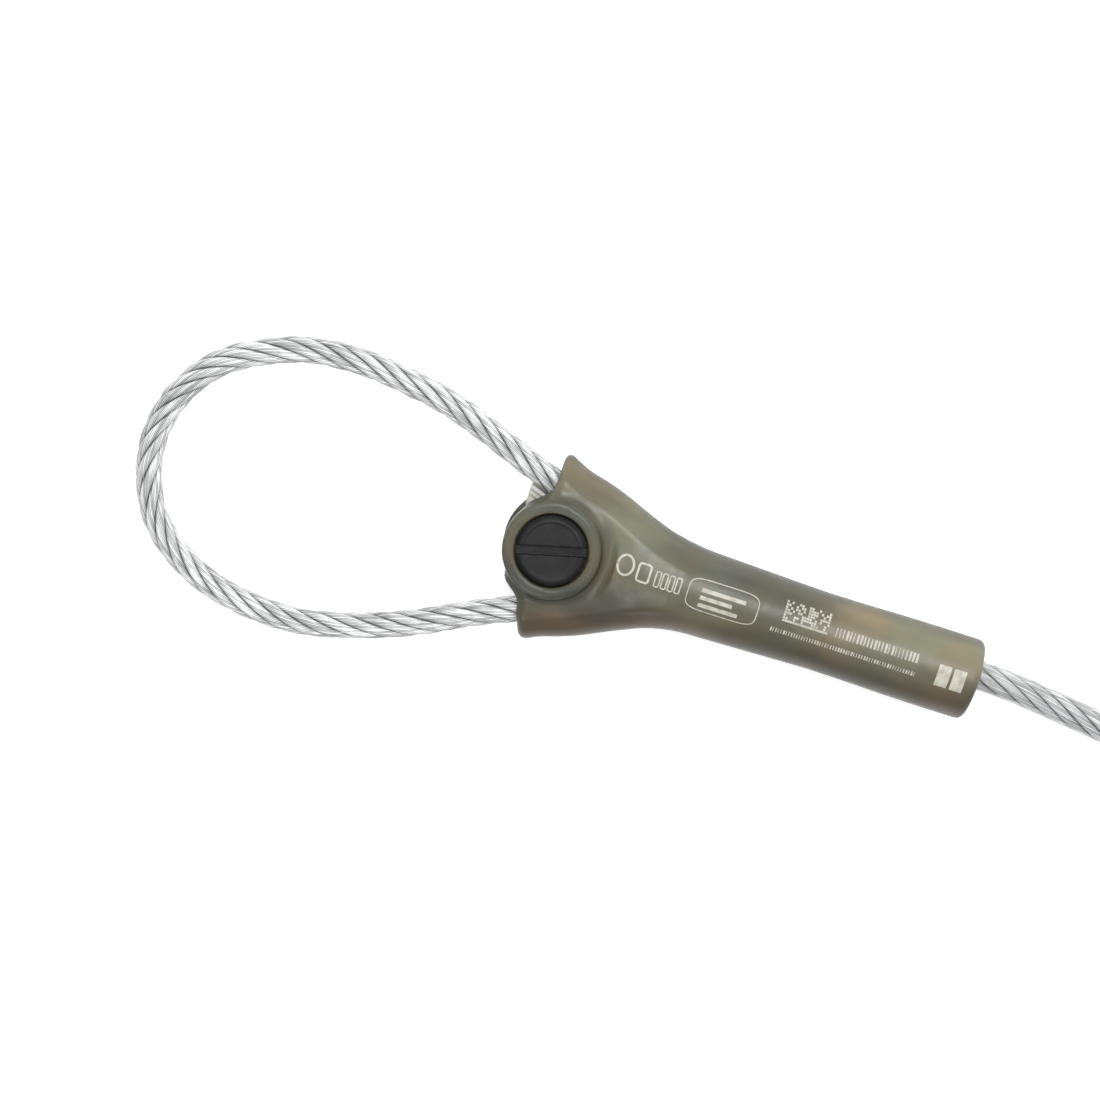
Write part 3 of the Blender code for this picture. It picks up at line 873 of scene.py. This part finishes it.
# %% Ferrule and dead end
def pressed_aluminium():
    material, tree, shader = new_material("pressed_aluminium", Metallic=1.0, Roughness=0.4)
    scratches = noise_node(tree, 300, (0.08, 1, 1), detail=4)
    tone = ramp_node(tree, scratches.outputs["Fac"], [(0.3, (0.5, 0.5, 0.51)), (0.7, (0.72, 0.72, 0.73))])
    tree.links.new(tone, shader.inputs["Base Color"])
    rough = ramp_node(tree, scratches.outputs["Fac"], [(0.3, 0.3), (0.7, 0.5)])
    tree.links.new(rough, shader.inputs["Roughness"])
    add_bump(tree, shader, scratches.outputs["Fac"], 0.00004)
    return material


aluminium = pressed_aluminium()
dead_low, dead_high = (Vector(corner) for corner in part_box("rope_dead_end_a"))
dead_line = smooth_line(
    [(x, (dead_low.y + dead_high.y) / 2, AXIS_HEIGHT) for x in (dead_low.x, dead_high.x)], 0.4 * MM
)
dead_mesh = rope_mesh("dead_end_strands", dead_line, ROPE_RADIUS, 7, bare_wire)
for letter, place in END_PLACES.items():
    bpy.data.objects[f"ferrule_{letter}"].material_slots[0].material = aluminium
    show(f"dead_end_{letter}", dead_mesh, "strop", f"rope_dead_end_{letter}", place)
print("cut end:", round(length_of(dead_line), 4), "m of rope")

# %% [markdown]
# ## The print
#
# The cover carries pale printed marks. They are drawn here as plain shapes with no meaning: a ring, a
# square, frames, bars, dots and two panels. Each is first laid out flat, as a strip of small faces, with
# its places in millimetres along and across the cover.

# %% Print shapes
INK_RAISE = 0.05
INK_THICKNESS = 0.05
PATH_STEP = 0.6
BAR_ROW = 0.5
DOT_SIZE, DOT_PITCH = 0.46, 0.55


def strip(path, width):
    """Quads along a path, half a width to each side of it."""
    path = np.array(path, dtype=float)
    along = np.gradient(path, axis=0)
    along /= np.linalg.norm(along, axis=1)[:, None]
    side = np.stack([-along[:, 1], along[:, 0]], axis=1) * width / 2
    left, right = path + side, path - side
    return [(left[i], left[i + 1], right[i + 1], right[i]) for i in range(len(path) - 1)]


def line_path(x0, y0, x1, y1):
    count = max(2, math.ceil(math.hypot(x1 - x0, y1 - y0) / PATH_STEP) + 1)
    return np.stack([np.linspace(x0, x1, count), np.linspace(y0, y1, count)], axis=1)


def bar(x0, x1, low, high):
    """Upright block, as rows of strips not wider than half a millimetre."""
    rows = max(1, math.ceil((high - low) / BAR_ROW))
    height = (high - low) / rows
    quads = []
    for row in range(rows):
        middle = low + (row + 0.5) * height
        quads += strip(line_path(x0, middle, x1, middle), height)
    return quads


def oval_path(center, half_width, half_height, power, count=72):
    """Closed line between an oval (power 2) and a rectangle (a high power)."""
    angles = np.linspace(0, 2 * math.pi, count)
    cosines, sines = np.cos(angles), np.sin(angles)
    return np.stack([
        center[0] + half_width * np.sign(cosines) * np.abs(cosines) ** (2 / power),
        center[1] + half_height * np.sign(sines) * np.abs(sines) ** (2 / power),
    ], axis=1)


def printed_shapes():
    """All the marks, from the pin towards the tail."""
    dice = random.Random(11)
    quads = strip(oval_path((15.7, 1.9), 1.7, 2.1, 2), 0.5)
    quads += strip(oval_path((19.8, 1.5), 1.3, 1.9, 6), 0.45)
    for i in range(4):
        quads += strip(oval_path((22.9 + i * 1.5, 1.2), 0.5, 1.6, 8, count=25), 0.3)
    quads += strip(oval_path((37.2, 0.9), 7.6, 3.3, 5), 0.2)
    for i, length in enumerate((9.6, 7.0, 8.6)):
        quads += bar(32.4, 32.4 + length, 2.0 - 1.6 * i - 0.42, 2.0 - 1.6 * i + 0.42)
    for row in range(8):
        for column in range(18):
            if row == 0 or column == 0 or dice.random() < 0.5:
                x, y = 50.2 + column * DOT_PITCH, 0.9 + row * DOT_PITCH
                quads += bar(x, x + DOT_SIZE, y, y + DOT_SIZE)
    for i in range(24):
        x = 61.8 + i * 0.76
        quads += bar(x, x + dice.choice((0.2, 0.3, 0.45)), 1.0, 3.0)
    for i in range(56):
        x = 48.4 + i * 0.57
        quads += bar(x, x + dice.choice((0.16, 0.24, 0.34)), -1.8, -0.9)
    quads += bar(84.4, 87.1, -2.2, 2.4)
    quads += bar(87.7, 90.4, -2.2, 2.4)
    return quads


print("the print is", INK_THICKNESS, "mm thick")

# %% [markdown]
# A ray goes straight down from above each corner of each small face, and the corner is put a hair above
# the place where the ray meets the skin. The sheet is then made solid, so that it is a real thin layer.

# %% Drop the print on to the skin
RAY_START_Z = 0.03
WELD_DISTANCE = 0.00001


def printed_mesh(skin):
    tree = BVHTree.FromPolygons(
        [v.co for v in skin.vertices], [p.vertices[:] for p in skin.polygons]
    )
    bm = bmesh.new()
    for quad in printed_shapes():
        corners = []
        for x, y in quad:
            hit = tree.ray_cast(Vector((x * MM, y * MM, RAY_START_Z)), Vector((0, 0, -1)))[0]
            corners.append(bm.verts.new(hit + Vector((0, 0, INK_RAISE * MM))))
        bm.faces.new(corners)
    bmesh.ops.remove_doubles(bm, verts=bm.verts, dist=WELD_DISTANCE)
    bmesh.ops.recalc_face_normals(bm, faces=bm.faces)
    bmesh.ops.solidify(bm, geom=bm.faces[:], thickness=INK_THICKNESS * MM)
    bmesh.ops.recalc_face_normals(bm, faces=bm.faces)
    mesh = bpy.data.meshes.new("printed_marks")
    bm.to_mesh(mesh)
    bm.free()
    return mesh


def pale_ink():
    material, tree, shader = new_material("pale_ink", Roughness=0.6)
    wear = noise_node(tree, 700, detail=3)
    tone = ramp_node(tree, wear.outputs["Fac"], [(0.3, (0.24, 0.225, 0.19)), (0.6, (0.36, 0.345, 0.30))])
    tree.links.new(tone, shader.inputs["Base Color"])
    add_bump(tree, shader, wear.outputs["Fac"], 0.00002)
    return material


ink_mesh = printed_mesh(skin_mesh)
ink_mesh.materials.append(pale_ink())
for letter, place in END_PLACES.items():
    show(f"printed_marks_{letter}", ink_mesh, "strop", place=place)
print("print:", len(ink_mesh.polygons), "faces")

# %% [markdown]
# ## Floor and light
#
# The sheet below glows softly, which keeps it white and almost free of shadow. The surround runs from
# grey towards -Y to white towards +Y, so the metal mirrors something paler on one side than on the
# other. A broad lamp on the +Y side is the main light, and a small weak one stands on the other side.

# %% Stage
FLOOR_SIZE = 4.0
FLOOR_PLACE = (0.1, 0, -0.0002)
SURROUND_STRENGTH = 1.1


def make_stage():
    bpy.ops.mesh.primitive_plane_add(size=FLOOR_SIZE, location=FLOOR_PLACE)
    floor = bpy.context.object
    floor.name = "floor"
    material, tree, shader = new_material(
        "white_sheet", Roughness=0.7, Emission_Color=(1, 1, 1, 1), Emission_Strength=0.6
    )
    paper = noise_node(tree, 40, detail=2)
    tone = ramp_node(tree, paper.outputs["Fac"], [(0.0, 0.6), (1.0, 0.64)])
    tree.links.new(tone, shader.inputs["Base Color"])
    floor.data.materials.append(material)


def make_surround():
    """Surround that goes from grey towards -Y to white towards +Y, with no edges in it."""
    world = bpy.data.worlds.new("studio")
    bpy.context.scene.world = world
    world.use_nodes = True
    tree = world.node_tree
    spread = map_range(tree, coordinate_axis(tree, "Generated", "Y"), -1.0, 1.0)
    tone = ramp_node(tree, spread, [(0.0, 0.25), (0.45, 0.75), (0.75, 1.0)])
    background = tree.nodes["Background"]
    tree.links.new(tone, background.inputs["Color"])
    background.inputs["Strength"].default_value = SURROUND_STRENGTH


def add_area_light(name, place, size, power):
    data = bpy.data.lights.new(name, "AREA")
    data.shape = "RECTANGLE"
    data.size, data.size_y = size
    data.energy = power
    light = bpy.data.objects.new(name, data)
    light.location = place
    light.rotation_euler = (-Vector(place)).to_track_quat("-Z", "Y").to_euler()
    bpy.context.scene.collection.objects.link(light)


make_stage()
make_surround()
add_area_light("key", (0.05, 0.35, 0.85), (0.45, 0.35), 8.0)
add_area_light("low_side", (-0.15, -0.5, 0.8), (0.12, 0.12), 2.0)
bpy.context.scene.view_settings.view_transform = "Standard"
